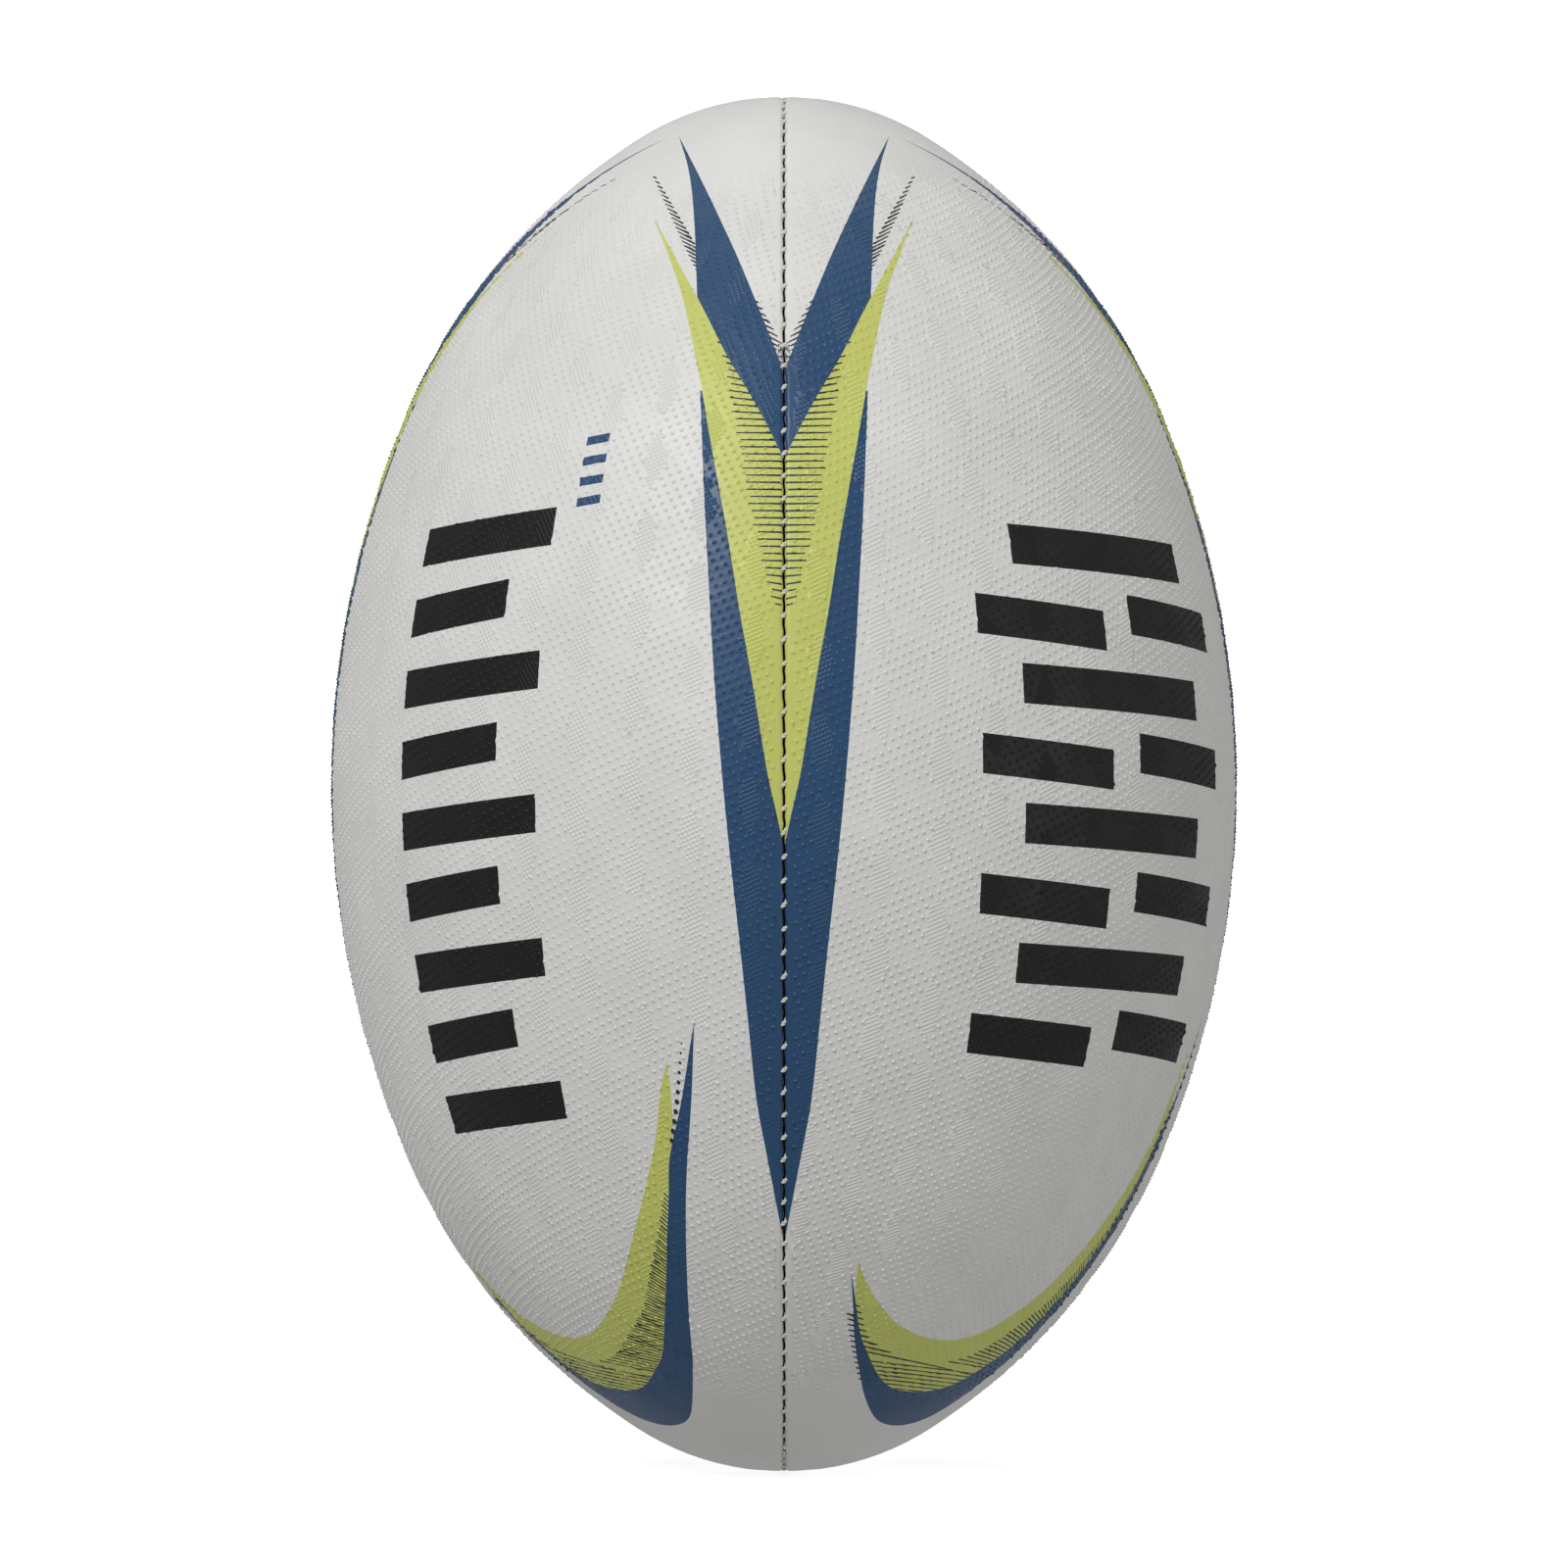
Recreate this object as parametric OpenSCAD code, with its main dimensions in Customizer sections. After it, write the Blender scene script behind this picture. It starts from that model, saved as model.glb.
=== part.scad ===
// Rugby ball, size 5: four stitched rubber panels, each lined with three
// plies of cloth, round an air bladder with a needle valve.
// The long axis is Z, the origin is the centre of the ball, and the four
// seams lie in the planes x = 0 and y = 0. Millimetres.

/* [Outline] */
// length from end to end
ball_length = 290; // [280:1:300]
// diameter at the middle
ball_diameter = 191; // [185:0.5:197]
// distance from the shoulder arc's centre to the tip arc's centre
shoulder_offset = 71.94; // [69.76:0.436:76.3]

/* [Panels] */
// thickness of the rubber cover
cover_thickness = 1.1; // [0.8:0.05:1.4]
// thickness of one ply of cloth
ply_thickness = 0.35; // [0.25:0.05:0.45]
// gap that stands for the glue between layers
glue_gap = 0.03; // [0.02:0.01:0.06]
// outer radius of the bend where a panel turns into its seam
bend_radius = 2.9; // [2.7:0.1:3.4]
// half of the gap between two panels in a seam
seam_half_gap = 0.3; // [0.2:0.05:0.5]
// how far the turned-in edge reaches below the surface
seam_depth = 6; // [5:0.5:8]

/* [Stitching] */
// distance between stitches along the seam
stitch_pitch = 4.9; // [4:0.1:7]
// stitches from the middle of a seam to its last one
stitches_each_way = 37; // [30:1:37]
// radius of the waxed thread
thread_radius = 0.4; // [0.3:0.05:0.5]
// depth of a stitch where it shows in the seam
stitch_depth = 2; // [1.8:0.1:2.4]
// angle at which a stitch leans along the seam, in degrees
stitch_lean = 8; // [0:1:15]

/* [Bladder] */
// wall of the bladder
bladder_wall = 0.65; // [0.5:0.05:0.9]
// gap between the lining and the blown-up bladder
bladder_gap = 0.1; // [0.05:0.05:0.3]
// how far the bladder's lobes stay from a seam's plane
lobe_inset = 3.8; // [3.7:0.1:5]

/* [Valve] */
// radius of the hole for the pump needle
needle_radius = 1; // [0.8:0.05:1.2]
// depth of the needle hole in the plug
needle_depth = 9; // [7:0.5:10]
// radius of the plug's body
plug_radius = 2.3; // [2:0.1:2.6]
// radius of the seat's tube
boss_radius = 4.2; // [4:0.1:5]
// how far the seat's tube reaches below the surface
boss_depth = 16; // [14:0.5:20]
// radius of the seat's flange on the bladder
flange_radius = 14; // [12:0.5:16]
// radius of the patch round the valve hole
patch_radius = 16; // [15:0.5:18]

/* [Hidden] */

$fn = 120;

half_length = ball_length / 2;
half_width = ball_diameter / 2;

// The outline is three arcs that meet smoothly, each with a [radius, height] centre.
// The directions in which they meet are sides of right triangles with whole numbers,
// so that the centres are round numbers and the arcs meet exactly.
side_direction = [12, 5];
side_direction_length = 13;
shoulder_direction = [60, 91];
shoulder_direction_length = 109;
shoulder_share = shoulder_offset / shoulder_direction_length;
side_share = (half_length - half_width
    + shoulder_share * (shoulder_direction_length - shoulder_direction[0]
        - shoulder_direction[1]))
    / (side_direction[0] + side_direction[1] - side_direction_length);
side_radius = half_width + side_share * side_direction[0]
    + shoulder_share * shoulder_direction[0];
shoulder_radius = side_radius - side_share * side_direction_length;
tip_radius = shoulder_radius - shoulder_offset;
side_centre = [half_width - side_radius, 0];
shoulder_centre = side_centre + side_share * side_direction;
tip_centre = [0, half_length - tip_radius];
side_sweep = atan2(side_direction[1], side_direction[0]);
shoulder_sweep = atan2(shoulder_direction[1], shoulder_direction[0]);
far = 400;

// where the lines between the arcs meet the axis, and where they leave the ball
side_low = -side_centre[0] * side_direction[1] / side_direction[0];
side_end = side_centre + 30 * side_direction;
shoulder_end = shoulder_centre + 4 * shoulder_direction;

// lengths of the arcs along the surface
side_run = side_radius * side_sweep * PI / 180;
shoulder_run = shoulder_radius * (shoulder_sweep - side_sweep) * PI / 180;

// depth of each layer's outer face below the surface: cover, three plies, inside
ply_step = ply_thickness + glue_gap;
layer_depth = [
    0,
    cover_thickness + glue_gap,
    cover_thickness + glue_gap + ply_step,
    cover_thickness + glue_gap + 2 * ply_step,
    cover_thickness + glue_gap + 3 * ply_step
];
layer_thickness = [cover_thickness, ply_thickness, ply_thickness, ply_thickness];
lining_depth = layer_depth[3] + ply_thickness;

// a bend's flat side lies this much inside the round one, so that they cross
bend_overlap = 0.05;
bend_centre = seam_half_gap + bend_radius;
cutter_rise = 3;
sweep_width = 20;

strand_inset = 3.1;
strand_depth = 2.95;
strand_end = 0.6;
stitch_radius = 0.38;
stitch_gap = 0.05;
thread_fn = 48;
strand_sides = 8;

bladder_depth = lining_depth + bladder_gap;
bladder_core_depth = seam_depth + bladder_gap;

patch_depth = lining_depth + glue_gap;
patch_thickness = 0.4;
flange_depth = patch_depth + patch_thickness + glue_gap;
flange_thickness = 1.2;
dish_depth = flange_depth + flange_thickness + glue_gap;
dish_radius = patch_radius + 0.5;
valve_angle = 135;
valve_clearance = 0.15;
boss_top = 0.4;
plug_top = 0.5;
plug_bottom = 13;
plug_clearance = 0.05;
plug_head_radius = 3;
plug_head_thickness = 0.85;
rib_radius = 2.8;
rib_top = 6;
rib_height = 1.2;
bladder_hole_clearance = 0.05;

// signs of x and y for each panel
front_left = [-1, -1];
front_right = [1, -1];
back_right = [1, 1];
back_left = [-1, 1];

// turns of the seam that lies in the half-plane x = 0, y > 0
front_seam = 180;
right_seam = 270;
back_seam = 0;
left_seam = 90;

rubber_white = [0.86, 0.86, 0.84];
cloth = [0.80, 0.76, 0.66];
thread_colour = [0.90, 0.88, 0.80];
bladder_colour = [0.10, 0.10, 0.11];
valve_colour = [0.14, 0.14, 0.15];
plug_colour = [0.82, 0.82, 0.80];

function polar(radius, angle) = radius * [cos(angle), sin(angle)];
function flip(p) = [p[0], -p[1]];
function mirrored(corners) = [for (p = corners) flip(p)];

// ---------------------------------------------------------------- outline

// the part of a circle that lies inside a polygon
module arc_piece(centre, radius, corners) {
    intersection() {
        translate(centre) circle(r = radius);
        polygon(corners);
    }
}

// corners of the areas in which the outline follows each arc
side_corners = [[0, -side_low], flip(side_end), side_end, [0, side_low]];
shoulder_corners = [[0, side_low], side_end, shoulder_end, tip_centre];
tip_corners = [tip_centre, shoulder_end, [shoulder_end[0], far], [0, far]];

// half of the outline, moved inwards by depth
module half_outline(depth) {
    union() {
        arc_piece(side_centre, side_radius - depth, side_corners);
        arc_piece(shoulder_centre, shoulder_radius - depth, shoulder_corners);
        arc_piece(flip(shoulder_centre), shoulder_radius - depth, mirrored(shoulder_corners));
        arc_piece(tip_centre, tip_radius - depth, tip_corners);
        arc_piece(flip(tip_centre), tip_radius - depth, mirrored(tip_corners));
    }
}

// the solid whose surface lies at the given depth below the ball's
module solid_at(depth) {
    rotate_extrude() half_outline(depth);
}

// ------------------------------------------------------------------ seams

// sweeps the cross-section that is the child along one arc in the plane x = 0, as
// far as the corners reach; the section's X is the height above the surface, and
// its Y is the distance across
module sweep_arc(centre, radius, first, last, corners) {
    rotate([90, 0, 90])
        intersection() {
            translate([centre[0], centre[1], 0])
                rotate_extrude(angle = last - first, start = first)
                    translate([radius, 0]) children();
            translate([0, 0, -sweep_width / 2])
                linear_extrude(sweep_width) polygon(corners);
        }
}

// the same along the half of the outline at y > 0, up to an angle at both tips
module sweep_seam(last) {
    tip_end = [
        tip_centre, shoulder_end, [shoulder_end[0], far],
        [far * cos(last) / sin(last), tip_centre[1] + far]
    ];
    for (arc = [
        [side_centre, side_radius, -30, 30, side_corners],
        [shoulder_centre, shoulder_radius, 15, 65, shoulder_corners],
        [tip_centre, tip_radius, 45, 135, tip_end],
        [flip(shoulder_centre), shoulder_radius, -65, -15, mirrored(shoulder_corners)],
        [flip(tip_centre), tip_radius, -135, -45, mirrored(tip_end)]
    ])
        sweep_arc(arc[0], arc[1], arc[2], arc[3], arc[4]) children();
}

// what lies outside the rounded edges of two panels that meet in a seam
module bend_section(depth) {
    difference() {
        translate([-bend_radius, -bend_centre])
            square([bend_radius + cutter_rise, 2 * bend_centre]);
        for (side = [1, -1])
            translate([-bend_radius, side * bend_centre])
                circle(r = bend_radius - depth);
    }
}

// a quarter of space, kept away from both seams' planes
module quarter(panel, inset) {
    translate([panel[0] > 0 ? inset : -far, panel[1] > 0 ? inset : -far, -far / 2])
        cube([far - inset, far - inset, far]);
}

// one panel, solid to the middle, with its edges bent in at both seams
module panel_solid(panel, depth) {
    past_tip = 180 - shoulder_sweep;
    difference() {
        intersection() {
            solid_at(depth);
            quarter(panel, seam_half_gap + bend_overlap + depth);
        }
        rotate(panel[1] > 0 ? back_seam : front_seam)
            sweep_seam(past_tip) bend_section(depth);
        rotate(panel[0] > 0 ? right_seam : left_seam)
            sweep_seam(past_tip) bend_section(depth);
    }
}

// --------------------------------------------------------------- stitches

// centre, radius and angle of the outline at a run from its middle
function outline_at(run) =
    let (s = abs(run), up = run < 0 ? -1 : 1)
    s < side_run
        ? [side_centre, side_radius, up * s / side_radius * 180 / PI]
        : s < side_run + shoulder_run
            ? [[shoulder_centre[0], up * shoulder_centre[1]], shoulder_radius,
                up * (side_sweep + (s - side_run) / shoulder_radius * 180 / PI)]
            : [[0, up * tip_centre[1]], tip_radius,
                up * (shoulder_sweep + (s - side_run - shoulder_run) / tip_radius * 180 / PI)];

// one stitch across the seam at x = 0, an arch whose top is at the origin
module stitch() {
    rise = strand_depth - stitch_depth;
    arch_radius = (pow(strand_inset, 2) + pow(rise, 2)) / (2 * rise);
    reach = asin(strand_inset / arch_radius)
        - (thread_radius + stitch_gap) / arch_radius * 180 / PI;
    rotate([0, stitch_lean, 0])
        translate([0, -arch_radius, 0])
            rotate_extrude(angle = 2 * reach, start = 90 - reach)
                translate([arch_radius, 0])
                    circle(r = stitch_radius, $fn = thread_fn);
}

// the stitches of the seam at x = 0, y > 0
module stitches() {
    for (i = [-stitches_each_way : stitches_each_way]) {
        at = outline_at(i * stitch_pitch);
        place = at[0] + polar(at[1] - stitch_depth, at[2]);
        translate([0, place[0], place[1]]) rotate([at[2], 0, 0]) stitch();
    }
}

// the part of the thread that runs along one side of the seam
module strand(side) {
    sweep_seam(outline_at(stitches_each_way * stitch_pitch)[2] + strand_end)
        translate([-strand_depth, side * strand_inset])
            circle(r = thread_radius, $fn = strand_sides);
}

module seam_thread(turn) {
    color(thread_colour) rotate(turn) {
        stitches();
        strand(1);
        strand(-1);
    }
}

// ------------------------------------------------------------------ valve

// a cylinder on the valve's axis between two depths
module valve_cylinder(radius, top, bottom) {
    rotate(valve_angle)
        translate([half_width - bottom, 0, 0])
            rotate([0, 90, 0]) cylinder(h = bottom - top, r = radius);
}

module valve_hole(panel) {
    if (panel == back_left)
        valve_cylinder(boss_radius + valve_clearance, -cutter_rise, seam_depth);
}

// ----------------------------------------------------------------- pieces

// layer 0 is the rubber cover, and 1 to 3 are the plies of cloth
module panel_layer(panel, layer) {
    difference() {
        panel_solid(panel, layer_depth[layer]);
        panel_solid(panel, layer_depth[layer] + layer_thickness[layer]);
        solid_at(seam_depth);
        valve_hole(panel);
    }
}

module cover(panel) {
    color(rubber_white) panel_layer(panel, 0);
}

module ply(panel, layer) {
    color(cloth) panel_layer(panel, layer);
}

module front_left_cover() { cover(front_left); }
module front_right_cover() { cover(front_right); }
module back_right_cover() { cover(back_right); }
module back_left_cover() { cover(back_left); }

module front_left_outer_ply() { ply(front_left, 1); }
module front_left_middle_ply() { ply(front_left, 2); }
module front_left_inner_ply() { ply(front_left, 3); }
module front_right_outer_ply() { ply(front_right, 1); }
module front_right_middle_ply() { ply(front_right, 2); }
module front_right_inner_ply() { ply(front_right, 3); }
module back_right_outer_ply() { ply(back_right, 1); }
module back_right_middle_ply() { ply(back_right, 2); }
module back_right_inner_ply() { ply(back_right, 3); }
module back_left_outer_ply() { ply(back_left, 1); }
module back_left_middle_ply() { ply(back_left, 2); }
module back_left_inner_ply() { ply(back_left, 3); }

module front_seam_thread() { seam_thread(front_seam); }
module right_seam_thread() { seam_thread(right_seam); }
module back_seam_thread() { seam_thread(back_seam); }
module left_seam_thread() { seam_thread(left_seam); }

// four lobes between the seams on a smooth core, with a dish for the valve
module bladder_solid(wall) {
    difference() {
        union() {
            solid_at(bladder_core_depth + wall);
            intersection() {
                solid_at(bladder_depth + wall);
                for (panel = [front_left, front_right, back_right, back_left])
                    quarter(panel, lobe_inset + wall);
            }
        }
        difference() {
            valve_cylinder(dish_radius + wall, -cutter_rise, seam_depth);
            solid_at(dish_depth + wall);
        }
    }
}

module bladder() {
    color(bladder_colour) difference() {
        bladder_solid(0);
        bladder_solid(bladder_wall);
        valve_cylinder(boss_radius + bladder_hole_clearance, -cutter_rise, boss_depth);
    }
}

module valve_seat() {
    color(valve_colour) difference() {
        union() {
            intersection() {
                valve_cylinder(flange_radius, 0, boss_depth);
                difference() {
                    solid_at(flange_depth);
                    solid_at(flange_depth + flange_thickness);
                }
            }
            valve_cylinder(boss_radius, boss_top, boss_depth);
        }
        valve_cylinder(plug_radius + plug_clearance, -cutter_rise, boss_depth + 1);
        valve_cylinder(plug_head_radius + plug_clearance, -cutter_rise,
            plug_top + plug_head_thickness + plug_clearance);
        valve_cylinder(rib_radius + plug_clearance, rib_top - plug_clearance,
            rib_top + rib_height + plug_clearance);
    }
}

module valve_plug() {
    color(plug_colour) difference() {
        union() {
            valve_cylinder(plug_radius, plug_top, plug_bottom);
            valve_cylinder(plug_head_radius, plug_top, plug_top + plug_head_thickness);
            valve_cylinder(rib_radius, rib_top, rib_top + rib_height);
        }
        valve_cylinder(needle_radius, -cutter_rise, plug_top + needle_depth);
    }
}

module valve_patch() {
    color(cloth) difference() {
        intersection() {
            valve_cylinder(patch_radius, 0, seam_depth);
            difference() {
                solid_at(patch_depth);
                solid_at(patch_depth + patch_thickness);
            }
        }
        valve_cylinder(boss_radius + valve_clearance, -cutter_rise, seam_depth + 1);
    }
}

front_left_cover();
front_right_cover();
back_right_cover();
back_left_cover();
front_left_outer_ply();
front_left_middle_ply();
front_left_inner_ply();
front_right_outer_ply();
front_right_middle_ply();
front_right_inner_ply();
back_right_outer_ply();
back_right_middle_ply();
back_right_inner_ply();
back_left_outer_ply();
back_left_middle_ply();
back_left_inner_ply();
front_seam_thread();
right_seam_thread();
back_seam_thread();
left_seam_thread();
bladder();
valve_seat();
valve_plug();
valve_patch();
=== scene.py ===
"""Looks of the stitched rugby ball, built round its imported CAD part.

Lengths are millimetres until a mesh is made, which is in metres. A panel is laid
out flat as (u, run): run is the distance along the surface from the ball's middle,
positive upwards, and u is the distance across from the panel's own centre line.
"""
import math

import bpy
import numpy as np
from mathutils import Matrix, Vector
from mathutils.geometry import delaunay_2d_cdt


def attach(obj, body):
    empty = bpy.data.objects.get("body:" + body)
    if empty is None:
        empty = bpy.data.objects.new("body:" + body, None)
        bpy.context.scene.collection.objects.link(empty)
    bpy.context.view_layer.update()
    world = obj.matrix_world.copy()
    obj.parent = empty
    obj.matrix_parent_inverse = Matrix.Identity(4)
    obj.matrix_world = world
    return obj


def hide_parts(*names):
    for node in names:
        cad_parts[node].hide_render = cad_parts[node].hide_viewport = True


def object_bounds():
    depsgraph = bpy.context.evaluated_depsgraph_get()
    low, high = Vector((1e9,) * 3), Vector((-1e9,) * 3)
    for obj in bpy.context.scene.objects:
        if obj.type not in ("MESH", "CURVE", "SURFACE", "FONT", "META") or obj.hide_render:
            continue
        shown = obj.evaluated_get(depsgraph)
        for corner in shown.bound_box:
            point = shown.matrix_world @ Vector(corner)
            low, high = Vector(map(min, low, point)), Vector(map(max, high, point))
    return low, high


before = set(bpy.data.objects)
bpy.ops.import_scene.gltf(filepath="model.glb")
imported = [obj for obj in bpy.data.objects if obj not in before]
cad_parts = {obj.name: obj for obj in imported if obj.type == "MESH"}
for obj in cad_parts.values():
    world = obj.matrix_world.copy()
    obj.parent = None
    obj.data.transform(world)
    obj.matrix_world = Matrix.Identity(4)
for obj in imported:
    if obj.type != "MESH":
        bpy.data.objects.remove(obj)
cad_low, cad_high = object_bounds()
CENTRE = (cad_low + cad_high) / 2
MM = 0.001

# ------------------------------------------------------------------ outline
# three arcs that meet smoothly: radius, and centre as distance from the axis and height
SIDE_RADIUS, SIDE_CENTRE = 200.44, (-104.94, 0.0)
SHOULDER_RADIUS, SHOULDER_CENTRE = 129.655, (-39.6, 27.225)
TIP_RADIUS, TIP_CENTRE = 57.715, (0.0, 87.285)
SIDE_ANGLE = math.atan2(5, 12)
SHOULDER_ANGLE = math.atan2(91, 60)
SIDE_RUN = SIDE_RADIUS * SIDE_ANGLE
SHOULDER_RUN = SIDE_RUN + SHOULDER_RADIUS * (SHOULDER_ANGLE - SIDE_ANGLE)
FULL_RUN = SHOULDER_RUN + TIP_RADIUS * (math.pi / 2 - SHOULDER_ANGLE)
WIDEST = SIDE_RADIUS + SIDE_CENTRE[0]
HALF_TURN = math.pi / 4  # a panel reaches this far to each side of its centre line


def outline(run):
    """Distance from the axis, height and the normal's angle above the middle."""
    s = np.minimum(np.abs(run), FULL_RUN)
    up = np.where(np.asarray(run) < 0, -1.0, 1.0)
    side = s / SIDE_RADIUS
    shoulder = SIDE_ANGLE + (s - SIDE_RUN) / SHOULDER_RADIUS
    tip = SHOULDER_ANGLE + (s - SHOULDER_RUN) / TIP_RADIUS
    arcs = [s < SIDE_RUN, s < SHOULDER_RUN]
    angle = np.select(arcs, [side, shoulder], tip)
    radius = np.select(arcs, [SIDE_RADIUS, SHOULDER_RADIUS], TIP_RADIUS)
    out = np.select(arcs, [SIDE_CENTRE[0], SHOULDER_CENTRE[0]], TIP_CENTRE[0])
    rise = np.select(arcs, [SIDE_CENTRE[1], SHOULDER_CENTRE[1]], TIP_CENTRE[1])
    r = np.maximum(out + radius * np.cos(angle), 1e-6)
    return r, up * (rise + radius * np.sin(angle)), up * angle


TABLE_RUN = np.linspace(-FULL_RUN, FULL_RUN, 4001)
TABLE_R, TABLE_Z, _ = outline(TABLE_RUN)


def run_at(z):
    """Distance along the surface at a height."""
    return np.interp(z, TABLE_Z, TABLE_RUN)


def place(u, run, depth):
    """Points at a depth below the ball's surface, for a panel whose left seam is at +X."""
    r, z, angle = outline(run)
    turn = HALF_TURN + u / r
    out = r - depth * np.cos(angle)
    return np.stack([out * np.cos(turn), out * np.sin(turn), z - depth * np.sin(angle)], 1)


# ------------------------------------------------------------------ surface
EDGE = 0.25          # from the seam's plane to the panel's edge
BEND = 0.8           # radius of the visible bend at the edge
FLANGE_DEPTH = 6.0   # how far the turned-in edge reaches
SKIN_THICKNESS = 1.1
INNER_EDGE = EDGE + SKIN_THICKNESS
INNER_BEND_CENTRE, INNER_BEND_DEPTH = 3.2, 2.9
PUFF, PUFF_REACH = 0.35, 7.0   # how far the panels puff up beside the seams
SKIN_DEPTH = 0.41    # of the skin between the bumps, whose tops are near depth 0
STITCH_PITCH = 4.9
STITCHES_EACH_WAY = 37

# the moulded grip: large bumps in groups, small ones in patches between the groups
BIG_PITCH, BIG_RADIUS, BIG_HEIGHT = 1.85, 0.56, 0.40
SMALL_PITCH, SMALL_RADIUS, SMALL_HEIGHT = 0.88, 0.34, 0.14
STEEPEST = 1 / math.sqrt(3)    # share of a bump's radius at which it is steepest


def directions(first, second):
    """Two unit vectors as the columns of a matrix, from their angles in degrees."""
    a = np.radians([first, second])
    return np.stack([np.cos(a), np.sin(a)])


BUMP_ROWS = directions(23, -55)   # the two ways in which the bumps line up
CELL_ACROSS, CELL_RISE, CELL_ALONG = 12.3, 6.5, 16.8   # from one group to the next
CELL_NARROWS = 0.75        # how closely the groups' columns follow the panel's width
PATCH_AT = (6.6, -3.0)     # the middle of a patch, from the middle of its group
PATCH_HALF = (2.5, 6.4)    # half its width and height
PATCH_ROUND = 1.4          # 1 makes a patch a diamond, 2 an oval
BELT_SLOPE = 0.33          # of the belt of lower large bumps above and below a group
BELT_START, BELT_END = 5.6, 6.8   # from the group's middle
BELT_LOSS = 0.5            # share of their height that the bumps in it lack
GRIP_START, GRIP_END = 128.0, 152.0   # run over which the grip fades out
GRIP_SEAM = 1.9      # bumps stay this far from a seam


def waver(run):
    """How far the seam wanders to the right of its plane, partly in step with the stitches."""
    return (0.11 * np.sin(run * 2 * math.pi / STITCH_PITCH)
            + 0.06 * np.sin(run * 0.83 + 1.3) + 0.04 * np.sin(run * 2.1 + 0.4))


def seam_distances(u, run):
    """Distances from the left and the right seam."""
    r, _, _ = outline(run)
    turn = np.clip(HALF_TURN + u / r, 0, math.pi / 2)
    left, right = r * np.sin(turn), r * np.cos(turn)
    shift = waver(run)
    return left - shift * np.exp(-left / 2), right + shift * np.exp(-right / 2)


def bend_depth(x, bend, centre):
    """Depth of the round bend at a panel's edge."""
    reach = np.clip(centre - x, 0, bend)
    return bend - np.sqrt(bend ** 2 - reach ** 2)


def both(a, b):
    """The larger of two depths, with a soft change from one to the other."""
    return (a ** 4 + b ** 4 + 1e-12) ** 0.25


def smooth(x, low, high):
    """0 below low, 1 above high and a soft step between."""
    t = np.clip((x - low) / (high - low), 0, 1)
    return t * t * (3 - 2 * t)


def nearest(u, run, pitch):
    """Centre of the nearest bump in the slanted rows, and how far away it is."""
    found = None
    corner = np.floor(np.linalg.inv(BUMP_ROWS) @ np.stack([u, run]) / pitch)
    for step in ((0, 0), (0, 1), (1, 0), (1, 1)):
        cu, cs = BUMP_ROWS @ (corner + np.array(step)[:, None]) * pitch
        gap = (u - cu) ** 2 + (run - cs) ** 2
        if found is None:
            found = (cu, cs, gap)
        else:
            near = gap < found[2]
            found = tuple(np.where(near, b, a) for a, b in zip(found, (cu, cs, gap)))
    return found[0], found[1], np.sqrt(found[2])


def in_cell(u, run, across, along):
    """Where a point lies in its cell of the grip, from a place in the cell."""
    r, _, _ = outline(run)
    x = u * (WIDEST / r) ** CELL_NARROWS - across
    column = np.round(x / CELL_ACROSS)
    y = run - along - column * CELL_RISE
    return x - column * CELL_ACROSS, y


def wrapped(y):
    """A height in a column of groups, from the middle of the nearest group."""
    return (y + CELL_ALONG / 2) % CELL_ALONG - CELL_ALONG / 2


def in_patch(u, run, margin=0.0):
    """Whether a point lies in one of the patches of small bumps, or this near to one."""
    x, y = in_cell(u, run, *PATCH_AT)
    return ((np.abs(x) / (PATCH_HALF[0] + margin)) ** PATCH_ROUND
            + (np.abs(wrapped(y)) / (PATCH_HALF[1] + margin)) ** PATCH_ROUND) < 1


def belt_share(u, run):
    """Height of a large bump, lower in the belts between the groups."""
    x, y = in_cell(u, run, 0, 0)
    return 1 - BELT_LOSS * smooth(np.abs(wrapped(y + BELT_SLOPE * x)), BELT_START, BELT_END)


def grip_share(u, run):
    """Height of a bump whose centre is here, as a share of its full height."""
    left, right = seam_distances(u, run)
    away = np.minimum(left, right)
    fade = 1 - smooth(np.abs(run), GRIP_START, GRIP_END)
    return np.where(away > GRIP_SEAM, fade, 0)


def bump(u, run, pitch, radius, height, large):
    """How far the large or the small bumps rise above the skin."""
    cu, cs, gap = nearest(u, run, pitch)
    share = np.where(in_patch(cu, cs) != large, grip_share(cu, cs), 0)
    if large:
        share = share * belt_share(cu, cs)
    t = np.clip(gap / radius, 0, 1) ** 2
    return height * share * (1 - t) ** 2


def outer_depth(u, run):
    """Depth of the panel's outer face: the skin, its rounded and puffed edges and the grip."""
    left, right = seam_distances(u, run)
    seam = both(bend_depth(left, BEND, EDGE + BEND), bend_depth(right, BEND, EDGE + BEND))
    puff = both(PUFF * np.exp(-left / PUFF_REACH), PUFF * np.exp(-right / PUFF_REACH))
    grip = (bump(u, run, BIG_PITCH, BIG_RADIUS, BIG_HEIGHT, True)
            + bump(u, run, SMALL_PITCH, SMALL_RADIUS, SMALL_HEIGHT, False))
    return SKIN_DEPTH + seam + puff - grip


def inner_depth(u, run):
    """Depth of the panel's inner face."""
    left, right = seam_distances(u, run)
    depth = [INNER_BEND_DEPTH - np.sqrt(
        (INNER_BEND_DEPTH - SKIN_THICKNESS) ** 2
        - np.clip(INNER_BEND_CENTRE - x, 0, INNER_BEND_DEPTH - SKIN_THICKNESS) ** 2)
        for x in (left, right)]
    return np.maximum(depth[0], depth[1])


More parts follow.
